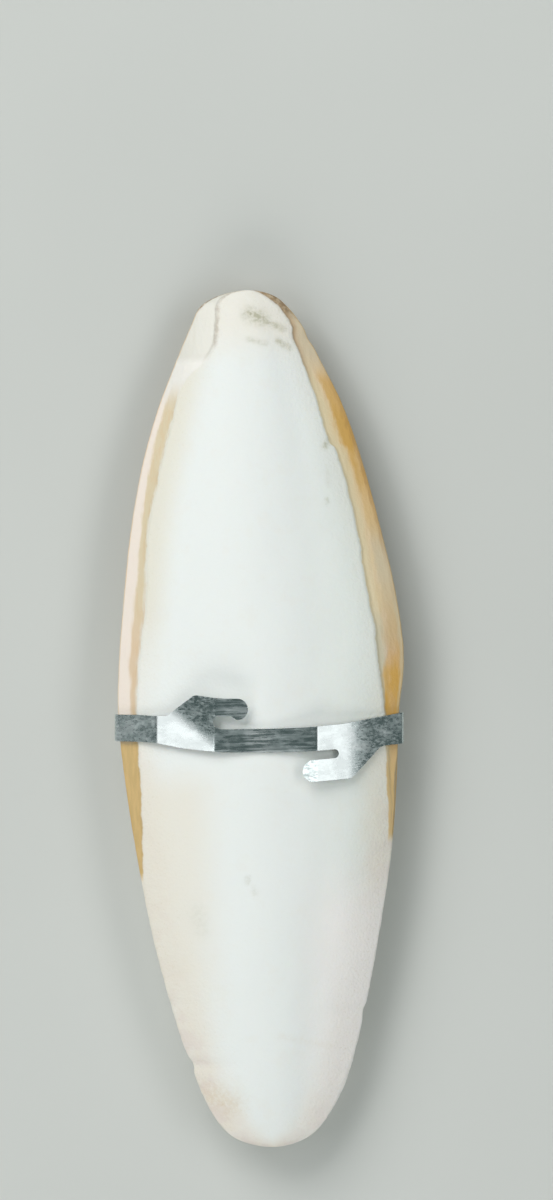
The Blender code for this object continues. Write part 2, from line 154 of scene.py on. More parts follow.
LEFT_EDGE = Curve(
    (-106, 0), (-103.5, 9.7), (-98, 14.7), (-90, 18.3), (-80, 21.7), (-68, 25.0), (-52, 28.6),
    (-34, 31.5), (-16, 33.8), (2, 35.2), (16, 34.5), (30, 33.0), (46, 30.9), (62, 27.7),
    (76, 23.5), (88, 18.6), (97, 14.6), (102.5, 11.6), (104.8, 7.4), (106, 0),
)
RIGHT_EDGE = Curve(
    (-106, 0), (-103.5, 9.0), (-98, 14.1), (-90, 18.4), (-80, 21.6), (-68, 24.6), (-52, 28.0),
    (-34, 31.2), (-16, 33.1), (0, 34.1), (14, 35.8), (30, 34.3), (46, 31.1), (62, 27.3),
    (76, 23.0), (88, 17.6), (97, 13.2), (101.5, 9.9), (104.3, 6.8), (106, 0),
)
LEFT_SHIELD = Curve(
    (-106, 0), (-103.5, 9.4), (-98, 14.3), (-80, 21.3), (-52, 28.2), (-40, 30.0), (-30, 29.9),
    (-16, 29.9), (2, 30.3), (16, 29.2), (30, 27.2), (46, 26.3), (60, 23.2), (74, 19.4),
    (83, 16.4), (88, 11.5), (92, 8.8), (98, 7.8), (103, 7.2), (105, 5.0), (106, 0),
)
RIGHT_SHIELD = Curve(
    (-106, 0), (-103.5, 8.7), (-98, 13.7), (-80, 21.2), (-52, 27.6), (-36, 30.6), (-27, 31.4),
    (-12, 31.0), (1, 30.4), (14, 29.1), (22, 28.5), (30, 27.1), (44, 25.3), (58, 22.6), (73, 18.0),
    (82, 14.9), (88, 12.8), (93, 11.1), (97, 10.4), (101, 8.0), (104, 4.8), (106, 0),
)
RIDGE = Curve(
    (-106, 11.5), (-100, 14.5), (-88, 17.5), (-70, 20.5), (-45, 23.1), (-15, 24.2), (10, 24.0),
    (35, 22.7), (60, 20.2), (80, 17.0), (94, 13.8), (102, 11.5), (106, 9.8),
)
RIM = Curve(
    (-106, 11.2), (-90, 11.7), (-60, 13.0), (-30, 14.0), (0, 14.2), (30, 13.5), (60, 12.0),
    (85, 10.3), (100, 9.3), (106, 9.2),
)
BELLY = Curve(
    (-106, 10.2), (-101, 7.3), (-92, 4.4), (-78, 1.9), (-58, -0.2), (-38, -1.2), (-12, -1.6),
    (8, -1.1), (24, 0.3), (40, 2.5), (56, 5.0), (72, 7.7), (84, 9.8), (94, 11.2), (99, 11.3),
    (106, 8.6),
)
CHALK = Curve(
    (-106, 0), (-103.5, 8.4), (-98, 13.0), (-80, 19.8), (-52, 26.2), (-16, 30.4), (6, 30.6),
    (30, 27.2), (50, 21.8), (68, 15.8), (82, 10.2), (92, 5.4), (98, 2.0), (106, 0),
)
CHIPS = (
    (-1, -84.9, 3.4, 0.8),
    (1, -73.0, 3.2, 0.45),
    (1, 93.5, 3.0, 0.4),
)

# Stains and smears on the white back: start, end, half width, strength
MARKS = (
    ((0.4, 99.8), (3.2, 98.7), 1.25, 0.95),
    ((3.0, 98.6), (8.6, 96.0), 0.6, 0.7),
    ((0.0, 93.6), (4.1, 92.4), 0.5, 0.4),
    ((7.2, 93.0), (9.8, 91.3), 0.6, 0.7),
    ((-4.4, -38.9), (-4.3, -39.5), 0.45, 0.5),
    ((-3.1, -41.3), (-2.6, -42.5), 0.35, 0.3),
    ((-16.8, -47.0), (-16.2, -51.0), 1.6, 0.14),
    ((-15.5, -92.5), (-11.0, -94.5), 2.6, 0.34),
    ((-12.0, -93.4), (-9.6, -94.6), 1.1, 0.3),
    ((2.5, -78.0), (14.2, -81.1), 0.6, 0.1),
    ((18.2, 61.0), (18.5, 57.0), 0.5, 0.12),
    ((17.9, 53.4), (18.1, 52.6), 0.4, 0.4),
    ((18.0, 66.6), (19.4, 69.0), 0.5, 0.8),
)


def smooth_step(value, low, high):
    t = max(0.0, min(1.0, (value - low) / (high - low)))
    return t * t * (3 - 2 * t)


def bump(value, centre, width):
    return math.exp(-(((value - centre) / width) ** 2))


def to_segment(point, start, end):
    """Distance from a point to a straight line between two others."""
    run = (end[0] - start[0], end[1] - start[1])
    length = run[0] ** 2 + run[1] ** 2
    t = ((point[0] - start[0]) * run[0] + (point[1] - start[1]) * run[1]) / length
    t = max(0.0, min(1.0, t))
    return math.hypot(point[0] - start[0] - t * run[0], point[1] - start[1] - t * run[1])


def stain_at(x, y):
    return max(
        strength * bump(to_segment((x, y), start, end), 0, half_width * 1.4)
        for start, end, half_width, strength in MARKS
    )


class Section:
    """The bone cut across at one distance along it. With fine=True it carries the small relief."""

    def __init__(self, y, fine=False):
        self.y = y
        self.fine = fine
        self.edge = {-1: self.edge_at(-1, LEFT_EDGE), 1: self.edge_at(1, RIGHT_EDGE)}
        self.shield = {-1: self.shield_at(-1, LEFT_SHIELD), 1: self.shield_at(1, RIGHT_SHIELD)}
        self.chalk = CHALK(y)
        self.ridge, self.rim, self.belly = RIDGE(y), RIM(y), BELLY(y)

    def edge_at(self, side, curve):
        half = curve(self.y)
        for chip_side, chip_y, length, depth in CHIPS:
            if chip_side == side:
                half -= depth * bump(self.y, chip_y, length / 2)
        if self.fine:
            by_horn = smooth_step(self.y, LEFT_HORN_FROM - 9, LEFT_HORN_FROM + 3)
            ragged = RAGGED_END + (RAGGED_HORN - RAGGED_END) * by_horn
            ragged *= min(1.0, half / 12)
            slow = noise.noise(Vector((self.y / 3.1, side * 5.0, 1.0)))
            quick = noise.noise(Vector((self.y / 0.9, side * 9.0, 4.0)))
            half -= ragged * (0.35 + 0.8 * slow + 0.5 * quick) * 0.5
        return max(half, 0.0)

    def shield_at(self, side, curve):
        shield = curve(self.y)
        if self.fine:
            slow = noise.noise(Vector((self.y / 4.0, side * 3.0, 7.0)))
            quick = noise.noise(Vector((self.y / 1.1, side * 3.0, 2.0)))
            shield += (0.35 * slow + 0.2 * quick) * min(1.0, shield / 12)
            if side > 0:
                past_crack = smooth_step(self.y, 66.6, 67.3) * (1 - smooth_step(self.y, 70, 82))
                shield -= CRACK_STEP * past_crack
        return max(min(shield, self.edge[side] - 0.25), 0.0)

    def back(self, x):
        side = -1 if x < 0 else 1
        half = max(self.edge[side], 0.01)
        across = min(abs(x) / half, 1.0)
        rise = self.ridge - self.rim
        height = self.rim + rise * (1 - across ** BACK_ARCH_POWER)
        relief = min(1.0, rise / 8)
        height += relief * MEDIAN_RIB * bump(x, 0, MEDIAN_RIB_WIDTH)
        height -= relief * SIDE_FURROW * bump(across, SIDE_FURROW_AT, 0.16)
        height += SWELL * relief * noise.noise(Vector((x / SWELL_ACROSS, self.y / SWELL_ALONG, 3.7)))
        shield = self.shield[side]
        margin = max(half - shield, 0.01)
        drop = LEDGE_DROP * min(1.0, margin / FULL_LEDGE_MARGIN)
        if self.fine and side < 0:
            drop *= 1 - 0.85 * smooth_step(self.y, 77, 82) * (1 - smooth_step(self.y, 88, 91))
        height -= drop * smooth_step(abs(x) - shield, 0.0, min(LEDGE_WIDTH, 0.2 * margin))
        if self.fine:
            height += self.back_relief(x, across, abs(x) - shield)
        return height

    def back_relief(self, x, across, past_shield):
        """Growth lines and granules on the shield, and long wrinkles on the horny margin."""
        y = self.y
        if past_shield > 0.2:
            wrinkle = noise.noise(Vector((x / 0.8, y / 5.0, 11.0)))
            return WRINKLE * wrinkle * smooth_step(past_shield, 0.2, 1.0)
        age = y - CHAMBER_EDGE_BOW * across ** 2
        rough = 0.3 + 0.7 * smooth_step(across, 0.45, 0.95) + 0.5 * smooth_step(y, 60, 100)
        lines = math.sin(age * 2.1 + 2.2 * noise.noise(Vector((x / 9, y / 9, 0.0))))
        patchy = 0.5 + 0.5 * noise.noise(Vector((x / 14, y / 17, 5.0)))
        grains = noise.noise(Vector((x / 1.5, y / 1.5, 21.0)))
        lumps = noise.noise(Vector((x / 4.5, y / 6.0, 31.0)))
        return rough * (GROWTH_LINE * lines * patchy + GRAIN * grains) + LUMP * lumps

    def under(self, x):
        side = -1 if x < 0 else 1
        chalk = min(self.chalk, self.edge[side] - 0.3)
        if chalk <= 0.05 or abs(x) >= chalk:
            return self.back(x) - FLANGE_THICKNESS
        root = self.back(side * chalk) - FLANGE_THICKNESS
        across = abs(x) / chalk
        height = root - (root - self.belly) * (1 - across ** BELLY_ARCH_POWER)
        inside = smooth_step(1 - across, 0.0, 0.3)
        age = self.y - CHAMBER_EDGE_BOW * across ** 2
        older = smooth_step(age - CHAMBER_EDGE, -CHAMBER_STEP_LENGTH / 2, CHAMBER_STEP_LENGTH / 2)
        height += CHAMBER_STEP * older * inside
        groove = smooth_step(self.y, GROOVE_FROM, GROOVE_FROM + 25)
        groove *= 1 - smooth_step(self.y, GROOVE_TO - 30, GROOVE_TO)
        height += GROOVE_DEPTH * groove * bump(x, 0, GROOVE_WIDTH)
        ridge = smooth_step(self.y, CONE_RIDGE_FROM, CONE_RIDGE_FULL)
        height -= CONE_RIDGE * ridge * bump(across, 0.93, 0.09)
        if self.fine:
            height += self.belly_relief(x, age, older) * inside
        thinnest = self.back(x) - FLANGE_THICKNESS
        return max(min(height, thinnest), 0.0)

    def belly_relief(self, x, age, older):
        """Fine ridges, one for each old chamber, behind the smooth last one."""
        wander = 2.4 * noise.noise(Vector((x / 7, self.y / 9, 8.0)))
        ridges = CHAMBER_RIDGE * math.sin(age * 2.3 + wander) * older
        dents = BELLY_DENT * noise.noise(Vector((x / 5, self.y / 6, 14.0)))
        return ridges + dents + BELLY_GRAIN * noise.noise(Vector((x / 1.4, self.y / 1.4, 2.0)))


def spread(left_rim, left_inner, right_inner, right_rim, middle, border):
    """Places across the bone, left to right, evenly over the middle and over each border."""
    left = [-left_rim + (left_rim - left_inner) * i / border for i in range(border)]
    inner = [-left_inner + (left_inner + right_inner) * i / middle for i in range(middle + 1)]
    right = [right_inner + (right_rim - right_inner) * i / border for i in range(1, border + 1)]
    return left + inner + right


def rim_round(section, side):
    """Points round the rim, from the back to the belly."""
    edge = section.edge[side]
    rounding = min(RIM_ROUNDING, ROUNDING_SHARE * edge)
    top = section.back(side * (edge - rounding))
    points = []
    for i in range(1, RIM_STEPS + 1):
        angle = math.pi * i / (RIM_STEPS + 1)
        out = edge - rounding * (1 - math.sin(angle))
        height = top - FLANGE_THICKNESS / 2 * (1 - math.cos(angle))
        points.append((side * out, height))
    return points


def bone_ring(section):
    """One closed section as (x, z, past the white border, distance from the rim, is belly)."""
    left, right = section.edge[-1], section.edge[1]
    rounding = min(RIM_ROUNDING, ROUNDING_SHARE * min(left, right))
    over = spread(
        left - rounding, min(section.shield[-1], left - 1.5 * rounding),
        min(section.shield[1], right - 1.5 * rounding), right - rounding,
        BACK_COLUMNS, MARGIN_COLUMNS,
    )
    below = spread(
        left - rounding, min(section.chalk, left - 1.5 * rounding),
        min(section.chalk, right - 1.5 * rounding), right - rounding,
        BELLY_COLUMNS, FLANGE_COLUMNS,
    )
    ring = []
    for x in over:
        side = -1 if x < 0 else 1
        gaps = (abs(x) - section.shield[side], section.edge[side] - abs(x))
        ring.append((x, section.back(x), *gaps, 0.0))
    for x, z in rim_round(section, 1):
        ring.append((x, z, right - section.shield[1], 0.0, 0.5))
    for x in reversed(below):
        side = -1 if x < 0 else 1
        gaps = (abs(x) - section.chalk, section.edge[side] - abs(x))
        ring.append((x, section.under(x), *gaps, 1.0))
    for x, z in reversed(rim_round(section, -1)):
        ring.append((x, z, left - section.shield[-1], 0.0, 0.5))
    return ring


def add_piece(name, data, material):
    data.materials.append(material)
    piece = bpy.data.objects.new(name, data)
    bpy.context.scene.collection.objects.link(piece)
    return piece


def ring_faces(rings, size):
    """Faces between neighbouring rings of points, and one over each end."""
    faces = []
    for i in range(rings - 1):
        for j in range(size):
            k = (j + 1) % size
            a, b = i * size, (i + 1) * size
            faces.append((a + j, a + k, b + k, b + j))
    faces.append(tuple(reversed(range(size))))
    faces.append(tuple(range((rings - 1) * size, rings * size)))
    return faces


def build_bone(material):
    """The fine bone, with the distances that its material reads stored on its points."""
    points = []
    fields = {"past_white": [], "from_rim": [], "belly": [], "stain": [], "age": []}
    for i in range(1, ROWS):
        y = -HALF_LENGTH * math.cos(math.pi * i / ROWS)
        section = Section(y, fine=True)
        for x, z, past_white, from_rim, belly in bone_ring(section):
            points.append((x * MM, y * MM, z * MM))
            side = -1 if x < 0 else 1
            across = abs(x) / max(section.edge[side], 0.01)
            fields["past_white"].append(past_white)
            fields["from_rim"].append(from_rim)
            fields["belly"].append(belly)
            fields["stain"].append(stain_at(x, y) if belly == 0 else 0.0)
            fields["age"].append(y - CHAMBER_EDGE_BOW * across ** 2)
    rings = ROWS - 1
    data = bpy.data.meshes.new("bone")
    data.from_pydata(points, [], ring_faces(rings, len(points) // rings))
    for name, values in fields.items():
        data.attributes.new(name, "FLOAT", "POINT").data.foreach_set("value", values)
    data.shade_smooth()
    low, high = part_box("cuttlebone")
    xs = [p[0] for p in points]
    offset = (low[0] + high[0] - min(xs) - max(xs)) / 2
    for vertex in data.vertices:
        vertex.co.x += offset
    piece = add_piece("bone", data, material)
    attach(piece, "root")
    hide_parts("cuttlebone")
    return offset


def place_on_bone(x, y):
    """Turns a place on the holder's own sheet into a place over the bone."""
    bow = smooth_step(-x, LEFT_BOW_FROM, LEFT_BOW_TO) if x < 0 else (x / LEFT_EDGE(HOLDER_Y)) ** 2
    bowed = y + HOLDER_BOW * bow
    cos, sin = math.cos(HOLDER_TURN), math.sin(HOLDER_TURN)
    return x * cos - bowed * sin, HOLDER_Y + x * sin + bowed * cos


def highest_under(x, half):
    """Highest point of the back under the band at x, plus the clearance up to the sheet's middle."""
    places = [place_on_bone(x, y) for y in (-half, 0, half)]
    return max(Section(py).back(px) for px, py in places) + CLEARANCE + SHEET / 2


def rest_facet(x_from, z_from, x_to, half):
    """Slope of a flat stretch of band that starts at a crease and just clears the back."""
    steps = 12
    slopes = []
    for i in range(1, steps + 1):
        x = x_from + (x_to - x_from) * i / steps
        slopes.append((highest_under(x, half) - z_from) / abs(x - x_from))
    return max(slopes)


class Fold:
    """The bent line of the band in the XZ plane: flats between creases, then a curl round each rim."""

    def __init__(self):
        middle = [LEFT_CREASES[0] * i / 4 for i in range(5)]
        middle += [RIGHT_CREASES[0] * i / 4 for i in range(5)]
        self.top = max(highest_under(x, BAND_HALF_MIDDLE) for x in middle)
        self.flats = {-1: self.side(-1, LEFT_CREASES), 1: self.side(1, RIGHT_CREASES)}

    def side(self, sign, creases):
        """Flats of one side as (distance out, height, slope outwards), the last one at the curl."""
        reach = [place_on_bone(sign * 34, y)[1] for y in (-BAND_HALF_END, 0, BAND_HALF_END)]
        rim = max(Section(y).edge[sign] for y in reach)
        stops = [abs(crease) for crease in creases] + [rim + CURL_BEYOND_RIM]
        height = self.top
        flats = []
        for start, stop in zip(stops, stops[1:]):
            slope = rest_facet(sign * start, height, sign * stop, BAND_HALF_END)
            slope += STAND_OFF / (stop - start) if not flats else 0.0
            flats.append((start, height, slope))
            height += slope * (stop - start)
        flats.append((stops[-1], height, slope))
        return flats

    def bends(self, sign):
        """Each crease of one side as (distance out, half its width, slope before, slope after)."""
        halves = LEFT_BEND_HALVES if sign < 0 else RIGHT_BEND_HALVES
        before = 0.0
        for (start, _, after), half in zip(self.flats[sign], halves):
            yield start, half, before, after
            before = after

    def at(self, x):
        """Place and outward direction of the sheet's middle. Past a curl's start, x runs along it."""
        sign = -1 if x < 0 else 1
        flats = self.flats[sign]
        out = abs(x)
        if out > flats[-1][0]:
            return self.curl(sign, flats[-1], out - flats[-1][0])
        height, slope, start = self.top, 0.0, 0.0
        for flat_start, flat_height, flat_slope in flats[:-1]:
            if out >= flat_start:
                start, height, slope = flat_start, flat_height, flat_slope
        z = height + slope * (out - start)
        turned = 0.0
        for crease, half, before, after in self.bends(sign):
            near = half - abs(out - crease)
            if near > 0:
                z += (after - before) * near ** 2 / (4 * half)
            turned += (after - before) * max(0.0, min(1.0, (out - crease + half) / (2 * half)))
        return x, z, Vector((-sign * turned, 0, 1)).normalized()

    def curl(self, sign, flat, along):
        start, height, slope = flat
        lean = -math.atan(slope)
        angle = lean + min(along / CURL_RADIUS, CURL_TURN)
        straight = max(along - CURL_RADIUS * CURL_TURN, 0.0)
        out = CURL_RADIUS * (math.sin(angle) - math.sin(lean)) + straight * math.cos(angle)
        down = CURL_RADIUS * (math.cos(lean) - math.cos(angle)) + straight * math.sin(angle)
        outward = Vector((sign * math.sin(angle), 0, math.cos(angle)))
        return sign * (start + out), height - down, outward

    def sheet_end(self, sign):
        return self.flats[sign][-1][0] + CURL_RADIUS * CURL_TURN + CLAW_LENGTH


def arc(centre, radius, start, end, steps):
    """Points on an arc, with angles in degrees."""
    points = []
    for i in range(steps + 1):
        angle = math.radians(start + (end - start) * i / steps)
        points.append((centre[0] + radius * math.cos(angle), centre[1] + radius * math.sin(angle)))
    return points


def half_blank(sheet_end, finger):
    """Outline of the half of the holder that has its finger on the -y side, from its end inwards."""
    rounding = FINGER_ROUNDING
    slot_half = finger["slot_height"] / 2
    slot_middle = finger["slot_from"] + slot_half
    inner, outer, foot = finger["inner"], finger["outer"], finger["foot"]
    half_side, half_end = finger["half_side"], finger["half_end"]
    points = [(sheet_end, CLAW_CORNER - CLAW_TIP_HALF), (sheet_end - CLAW_CORNER, -CLAW_TIP_HALF)]
    points += [(sheet_end - CLAW_LENGTH, -half_end), (END_FROM, -half_end)]
    points += [(foot + 1.2, -half_side), (foot, -half_side - 0.3)]
    points += arc((finger["neck"] - rounding, rounding - outer), rounding, -38, -90, 10)
    tip_middle = (finger["tip"] + rounding, -(inner + outer) / 2)
    tip_radius = (outer - inner) / 2
    points += arc((tip_middle[0] + 0.3, tip_middle[1]), tip_radius, -90, -270, 24)
    slot_mouth = points[-1][0] + 1.5
    points += [(slot_mouth, -finger["slot_from"] - finger["slot_height"])]
    points += arc((finger["slot_end"] - slot_half, -slot_middle), slot_half, -90, 90, 16)
    return points


def far_edge(sheet_end, finger):
    """The plain edge of the band, on the side that has no finger, from the middle outwards."""
    return [
        (SIDE_FROM - 8, BAND_HALF_MIDDLE), (SIDE_FROM, finger["half_side"]),
        (END_FROM, finger["half_end"]), (sheet_end - CLAW_LENGTH, finger["half_end"]),
        (sheet_end - CLAW_CORNER, CLAW_TIP_HALF),
        (sheet_end, CLAW_TIP_HALF - CLAW_CORNER),
    ]


def blank_outline(fold):
    """The whole flat outline: a half, then the other half turned half round."""
    right_end = fold.sheet_end(1) - HOOK_CENTRE_X
    left_end = fold.sheet_end(-1) + HOOK_CENTRE_X
    right = half_blank(right_end, RIGHT_FINGER)
    left = [(-x, -y) for x, y in half_blank(left_end, LEFT_FINGER)]
    left_bottom = [(-x, -y) for x, y in far_edge(left_end, LEFT_FINGER)]
    outline = right + left_bottom + left + far_edge(right_end, RIGHT_FINGER)
    return [(x + HOOK_CENTRE_X, y) for x, y in outline]


def fold_lines(fold):
    """Places along the sheet where it has to be able to bend."""
    lines = []
    halves = LEFT_BEND_HALVES + RIGHT_BEND_HALVES
    for crease, half in zip(LEFT_CREASES + RIGHT_CREASES, halves):
        lines += [crease + half * share / 4 for share in range(-4, 5)]
        lines += [crease - half - 0.1, crease + half + 0.1]
    for sign in (-1, 1):
        start = fold.flats[sign][-1][0]
        lines += [sign * (start + CURL_RADIUS * CURL_TURN * i / 16) for i in range(-1, 18)]
    lines += [LEFT_CREASES[0] + CUTS_BY_SLANT * i for i in range(-22, 18)]
    lines += [CUTS_ALONG * i for i in range(-2, 31)]
    return sorted(set(round(x, 3) for x in lines))


def left_rise(x, y):
    """How far a place on the left half stands up, because the finger is bent along a slant."""
    crease = LEFT_CREASES[0]
    past = (min(x, crease) - crease) * math.sin(SLANT) + (y - SLANT_FOOT) * math.cos(SLANT)
    bent = max(0.0, min(past, SLANT_BLEND))
    rise = SLANT_RISE * (bent ** 2 / (2 * SLANT_BLEND) + max(past - SLANT_BLEND, 0.0))
    if y < BEND_LINE:
        rise *= 1 - smooth_step(x, crease, crease + SLANT_FADE)
    return rise


def finger_height(fold, x, y, band):
    """Height of the sheet at a place, given the height of a plain band there."""
    if x < 0:
        return band + left_rise(x, y)
    if y < 0.01 - BEND_LINE and 0 < x < RIGHT_CREASES[0] + 1:
        return fold.top - fold.flats[1][0][2] * (RIGHT_CREASES[0] - x)
    return band


def sheet_point(fold, x, y, side):
    """A point on the outer or inner face of the bent sheet, in millimetres over the bone."""
    bent_x, z, outward = fold.at(x)
    z = finger_height(fold, x, y, z)
    bent_x += side * outward.x * SHEET / 2
    z += side * outward.z * SHEET / 2
    px, py = place_on_bone(bent_x, y)
    return Vector((px, py, z))


def flat_blank(fold):
    """The flat sheet's outline, cut into faces wherever it has to bend."""
    flat = bmesh.new()
    flat.faces.new([flat.verts.new((x, y, 0)) for x, y in blank_outline(fold)])
    for x in fold_lines(fold):
        everything = flat.verts[:] + flat.edges[:] + flat.faces[:]
        bmesh.ops.bisect_plane(flat, geom=everything, plane_co=(x, 0, 0), plane_no=(1, 0, 0))
    for y in (-BEND_LINE, *(CUTS_ACROSS * i for i in range(-16, 17))):
        everything = flat.verts[:] + flat.edges[:] + flat.faces[:]
        bmesh.ops.bisect_plane(flat, geom=everything, plane_co=(0, y, 0), plane_no=(0, 1, 0))
    flat.verts.index_update()
    return flat


def bent_sheet(fold, flat, offset):
    """The blank with its two faces and its edges, bent over the bone."""
    sheet = bmesh.new()
    skins = {}
    for side in (1, -1):
        skins[side] = []
        for v in flat.verts:
            point = sheet_point(fold, v.co.x, v.co.y, side) * MM
            skins[side].append(sheet.verts.new((point.x + offset, point.y, point.z)))
    for face in flat.faces:
        corners = [v.index for v in face.verts]
        sheet.faces.new([skins[1][i] for i in corners])
        sheet.faces.new([skins[-1][i] for i in reversed(corners)])
    for edge in flat.edges:
        if edge.is_boundary:
            i, j = (v.index for v in edge.verts)
            sheet.faces.new((skins[1][i], skins[1][j], skins[-1][j], skins[-1][i]))
    bmesh.ops.recalc_face_normals(sheet, faces=sheet.faces[:])
    return sheet


def build_holder(material, offset):
    """The bent sheet with finely rounded edges, in place of the plain one."""
    fold = Fold()
    flat = flat_blank(fold)
    sheet = bent_sheet(fold, flat, offset)
    data = bpy.data.meshes.new("holder")
    sheet.to_mesh(data)
    flat.free()
    sheet.free()
    data.shade_smooth()
    piece = add_piece("holder", data, material)
    bevel = piece.modifiers.new("rounded edges", "BEVEL")
    bevel.width = EDGE_ROUNDING * MM
    bevel.segments = 2
    bevel.limit_method = "ANGLE"
    bevel.angle_limit = math.radians(50)
    bevel.harden_normals = True
    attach(piece, "root")
    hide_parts("holder_clip")


class Nodes:
    """Short calls for building one material's nodes."""

    def __init__(self, name):
        self.material = bpy.data.materials.new(name)
        self.material.use_nodes = True
        self.tree = self.material.node_tree
        self.shader = self.tree.nodes["Principled BSDF"]
        self.place = self.tree.nodes.new("ShaderNodeTexCoord").outputs["Object"]

    def plug(self, socket, value):
        if isinstance(value, bpy.types.NodeSocket):
            self.tree.links.new(value, socket)
        elif value is not None:
            socket.default_value = value

    def node(self, kind, inputs=(), **settings):
        made = self.tree.nodes.new(kind)
        for name, value in settings.items():
            setattr(made, name, value)
        for key, value in dict(inputs).items():
            self.plug(made.inputs[key], value)
        return made

    def field(self, name):
        return self.node("ShaderNodeAttribute", attribute_name=name).outputs["Fac"]

    def math(self, operation, a, b=None, c=None):
        inputs = {0: a, 1: b, 2: c}
        return self.node("ShaderNodeMath", inputs, operation=operation).outputs[0]

    def millimetres(self):
        """Place across and along the bone."""
        xyz = self.node("ShaderNodeSeparateXYZ", {0: self.place})
        return self.math("DIVIDE", xyz.outputs[0], MM), self.math("DIVIDE", xyz.outputs[1], MM)

    def product(self, first, *others):
        for other in others:
            first = self.math("MULTIPLY", first, other)
        return first

    def without(self, share):
        return self.math("SUBTRACT", 1.0, share)

    def flatten(self, value, share):
        """Value taken towards its middle, a half, by a share."""
        return self.math("ADD", self.product(value, self.without(share)), self.product(share, 0.5))

    def ease(self, value, low, high, to_low=0.0, to_high=1.0):
        """Value taken smoothly from one range to another."""
        inputs = {"Value": value, 1: low, 2: high, 3: to_low, 4: to_high}
        node = self.node("ShaderNodeMapRange", inputs, interpolation_type="SMOOTHSTEP")
        return node.outputs[0]

    def profile(self, value, *stops):
        """A strength that changes along the bone, through stops of (place, strength)."""
        low, high = stops[0][0], stops[-1][0]
        even = self.node("ShaderNodeMapRange", {"Value": value, 1: low, 2: high}).outputs[0]
        ramp = self.node("ShaderNodeValToRGB", {0: even})
        ramp.color_ramp.interpolation = "EASE"
        for place, strength in stops:
            spot = (place - low) / (high - low)
            ends = {0.0: 0, 1.0: -1}
            elements = ramp.color_ramp.elements
            element = elements[ends[spot]] if spot in ends else elements.new(spot)
            element.color = (strength, strength, strength, 1.0)
        return ramp.outputs[0]

    def scaled(self, size, stretch=(1, 1, 1), shift=0.0):
        """The place in units of size millimetres, each unit longer along an axis by its stretch."""
        scale = [1 / (size * MM * s) for s in stretch]
        inputs = {"Vector": self.place, "Scale": scale, "Location": (shift, shift, 0)}
        return self.node("ShaderNodeMapping", inputs).outputs[0]

    def noise(self, size, detail=3.0, stretch=(1, 1, 1), rough=0.55, shift=0.0):
        """Noise whose lumps are size millimetres across, longer along an axis by its stretch."""
        vector = self.scaled(size, stretch, shift)
        inputs = {"Vector": vector, "Scale": 1.0, "Detail": detail, "Roughness": rough}
        return self.node("ShaderNodeTexNoise", inputs).outputs["Fac"]

    def grains(self, size):
        inputs = {"Vector": self.scaled(size), "Scale": 1.0}
        return self.node("ShaderNodeTexVoronoi", inputs, feature="F1").outputs["Distance"]

    def mix(self, share, first, second, blend="MIX"):
        """Colours are tuples of three or sockets."""
        node = self.tree.nodes.new("ShaderNodeMix")
        node.data_type = "RGBA"
        node.blend_type = blend
        self.plug(node.inputs[0], share)
        for socket, value in ((node.inputs[6], first), (node.inputs[7], second)):
            self.plug(socket, (*value, 1.0) if isinstance(value, tuple) else value)
        return node.outputs[2]

    def bump(self, height, distance, strength=1.0, normal=None):
        inputs = {"Height": height, "Distance": distance * MM, "Strength": strength}
        if normal is not None:
            inputs["Normal"] = normal
        return self.node("ShaderNodeBump", inputs).outputs[0]

    def set(self, **values):
        for name, value in values.items():
            self.plug(self.shader.inputs[name.replace("_", " ")], value)


# Colours of the white bone and its chalk
COOL_WHITE = (0.86, 0.88, 0.855)
WARM_WHITE = (0.84, 0.785, 0.69)
PINK_WHITE = (0.96, 0.91, 0.88)
LOW_WHITE = (0.84, 0.785, 0.68)
ROSE_WHITE = (0.78, 0.69, 0.64)
DULL_WHITE = (0.97, 0.99, 0.95)
CHALK_WHITE = (0.84, 0.83, 0.77)
CREAM = (0.87, 0.83, 0.75)
FRINGE = (0.81, 0.775, 0.67)
SMUDGE = (0.40, 0.385, 0.25)

# Colours of the horny margin
OLIVE_BEIGE = (0.68, 0.61, 0.44)
BEIGE = (0.72, 0.61, 0.44)
HONEY = (0.71, 0.51, 0.29)
PALE_HONEY = (0.97, 0.77, 0.46)
PEACH = (0.76, 0.56, 0.40)
AMBER = (0.72, 0.42, 0.10)
DARK_AMBER = (0.42, 0.22, 0.07)
RUSSET = (0.56, 0.37, 0.21)
TAN = (0.62, 0.45, 0.23)
GOLDEN_TAN = (0.67, 0.47, 0.21)
DEEP_TAN = (0.61, 0.43, 0.19)
GOLD = (0.76, 0.53, 0.24)
PALE_TAN = (0.72, 0.61, 0.42)
# Painted highlight: this near-white colour over the outer left margin stands for a reflection on the
# amber horn
PAINTED_HIGHLIGHT_EDGE = (0.90, 0.79, 0.70)
BROWN = (0.27, 0.18, 0.10)
GREY_HORN = (0.66, 0.63, 0.52)
DARK_HORN = (0.26, 0.22, 0.16)
BONE_GREY = (0.83, 0.80, 0.74)
FLAP = (0.74, 0.715, 0.64)
CHALK_ROUGHNESS, HORN_ROUGHNESS = 0.72, 0.36

# Colours of the tinned sheet and of the floor
PALE_TIN = (0.62, 0.68, 0.68)
GREY_TIN = (0.44, 0.51, 0.505)
STREAK_TIN = (0.84, 0.87, 0.87)
CLOUD_TIN = (0.88, 0.90, 0.90)
RUBBED_TIN = (0.92, 0.94, 0.94)
# Painted shade: darker tin colour laid on the two facets that mirror the softboxes, toning their
# reflection down
SHADED_FACET_TIN = (0.47, 0.50, 0.50)
FLOOR_GREY = (0.60, 0.61, 0.58)
FLOOR_PALE = (0.63, 0.64, 0.61)
FLOOR_SIDE = 12.0

